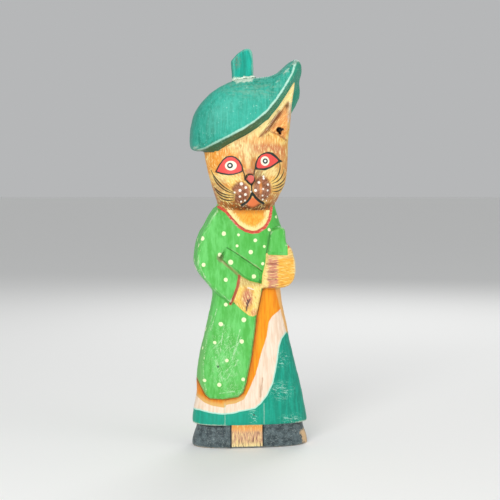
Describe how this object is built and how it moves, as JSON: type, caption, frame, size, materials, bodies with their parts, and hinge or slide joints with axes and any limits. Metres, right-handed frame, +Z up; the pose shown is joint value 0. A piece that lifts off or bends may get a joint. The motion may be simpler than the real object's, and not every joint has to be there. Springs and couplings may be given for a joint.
{
  "type": "wooden cat statue",
  "caption": "Standing cat carved from a thick board and painted, in a long shirt, flared skirt and tilted leaf-shaped cap with a stub stem.",
  "frame": {"origin": "middle of the box on the underside of the base", "axes": "+Z up through the figure, the cat faces -Y, +X is to the viewer's right"},
  "size_m": [0.1194, 0.0624, 0.4],
  "materials": {
    "painted_wood": "hand-painted soft wood, satin, worn on the edges",
    "teal_paint": "hand-painted soft wood, satin",
    "white_filler": "rough matt filler"
  },
  "bodies": {
    "root": {"cat_figure": "painted_wood", "hat_stem": "teal_paint", "repair_filler": "white_filler"}
  },
  "joints": []
}
